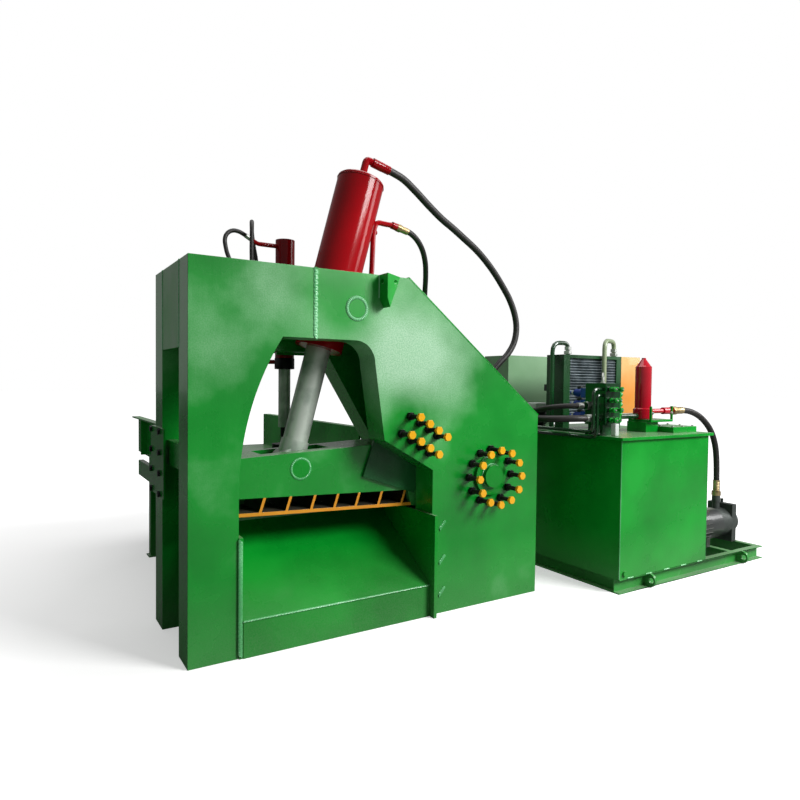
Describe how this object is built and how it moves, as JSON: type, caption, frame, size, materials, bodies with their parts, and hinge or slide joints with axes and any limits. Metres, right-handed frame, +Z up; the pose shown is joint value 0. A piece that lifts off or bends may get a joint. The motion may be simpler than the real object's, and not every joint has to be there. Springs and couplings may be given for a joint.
{
  "type": "alligator shear",
  "caption": "Hydraulic alligator shear with a hinged cutting arm, slanted ram, feed trough, discharge chute and a skid-mounted hydraulic power unit joined by hoses.",
  "frame": {"origin": "on the floor under the arm's pivot axis, halfway between the outer faces of the frame plates; the point lies on the underside of the frame's base plate", "axes": "+X from the cutting end along the frame towards the power unit, +Y from the front, discharge side to the rear, feed side, +Z up"},
  "size_m": [5.447, 3.6828, 3.3504],
  "materials": {
    "green_paint": "gloss",
    "pale_green_paint": "satin",
    "yellow_paint": "gloss",
    "red_paint": "gloss",
    "blue_coil": "satin",
    "rubber_hose": "matte",
    "machined_steel": "brushed",
    "rod_chrome": "polished",
    "dark_bolts": "satin",
    "bronze": "satin",
    "cast_pump": "satin",
    "cooler_fins": "matte"
  },
  "bodies": {
    "frame": {"front_frame_left": "green_paint", "front_frame_right": "green_paint", "rear_frame_left": "green_paint", "rear_sill": "green_paint", "rear_frame_right": "green_paint", "frame_webs": "green_paint", "slant_cover": "green_paint", "chute_plate": "green_paint", "chute_side_plates": "green_paint", "lifting_lugs": "green_paint", "pivot_pin": "green_paint", "pivot_rings": "green_paint", "adjusting_screws": "yellow_paint", "lock_nuts": "dark_bolts", "wear_pads": "green_paint", "lower_blade": "machined_steel", "frame_bolts": "dark_bolts", "trunnion_pins": "green_paint", "clamp_bracket": "green_paint", "clamp_barrel": "red_paint", "trough_floor": "green_paint", "trough_walls": "green_paint", "trough_legs": "green_paint", "fishplate": "green_paint", "skid": "green_paint", "tank": "green_paint", "tank_lid": "green_paint", "access_cover": "green_paint", "manifold": "green_paint", "solenoids": "blue_coil", "filter_bracket": "green_paint", "line_filter": "red_paint", "steel_pipes": "green_paint", "cooler_core": "cooler_fins", "cooler_frame": "green_paint", "motors": "green_paint", "pump": "cast_pump", "control_cabinet": "pale_green_paint", "main_hose": "rubber_hose", "return_hose": "rubber_hose", "clamp_hose_a": "rubber_hose", "clamp_hose_b": "rubber_hose", "pump_hose": "rubber_hose"},
    "arm": {"arm_side_plates": "green_paint", "arm_inner_plates": "green_paint", "arm_ribs": "yellow_paint", "arm_bush": "bronze", "rod_pin": "green_paint", "upper_blade": "machined_steel", "upper_blade_screws": "dark_bolts"},
    "ram": {"main_rod": "rod_chrome", "rod_eye": "machined_steel"},
    "barrel": {"barrel_tube": "red_paint", "barrel_ends": "red_paint", "trunnion_collar": "green_paint", "barrel_pipes": "red_paint"},
    "clamp_ram": {"clamp_rod": "rod_chrome", "clamp_foot": "dark_bolts"},
    "fan": {"fan": "machined_steel"},
    "cabinet_door": {"cabinet_door": "pale_green_paint"}
  },
  "joints": [
    {"name": "arm_pivot", "type": "hinge", "parent": "frame", "child": "arm", "pos_m": [0, 0, 0.976], "axis": [0, 1, 0], "range_deg": [0, 18]},
    {"name": "barrel_swing", "type": "hinge", "parent": "frame", "child": "barrel", "pos_m": [-1.153, 0, 2.163], "axis": [0, 1, 0], "range_deg": [0, 2], "deforming": ["main_hose", "return_hose"]},
    {"name": "ram_slide", "type": "slide", "parent": "barrel", "child": "ram", "axis": [0.2584, 0, 0.966], "range_m": [0, 0.46]},
    {"name": "clamp_slide", "type": "slide", "parent": "frame", "child": "clamp_ram", "axis": [0, 0, -1], "range_m": [-0.44, 0.18]},
    {"name": "fan_spin", "type": "hinge", "parent": "frame", "child": "fan", "pos_m": [1.51, 0.0175, 1.6425], "axis": [0, 1, 0], "continuous": true},
    {"name": "cabinet_door_hinge", "type": "hinge", "parent": "frame", "child": "cabinet_door", "pos_m": [1.718, 0.9168, 1], "axis": [0, 0, -1], "range_deg": [0, 110]}
  ],
  "couplings": [
    {"joint": "ram_slide", "follows": "arm_pivot", "m_per_rad": 1.433},
    {"joint": "barrel_swing", "follows": "arm_pivot", "ratio": 0.1}
  ]
}
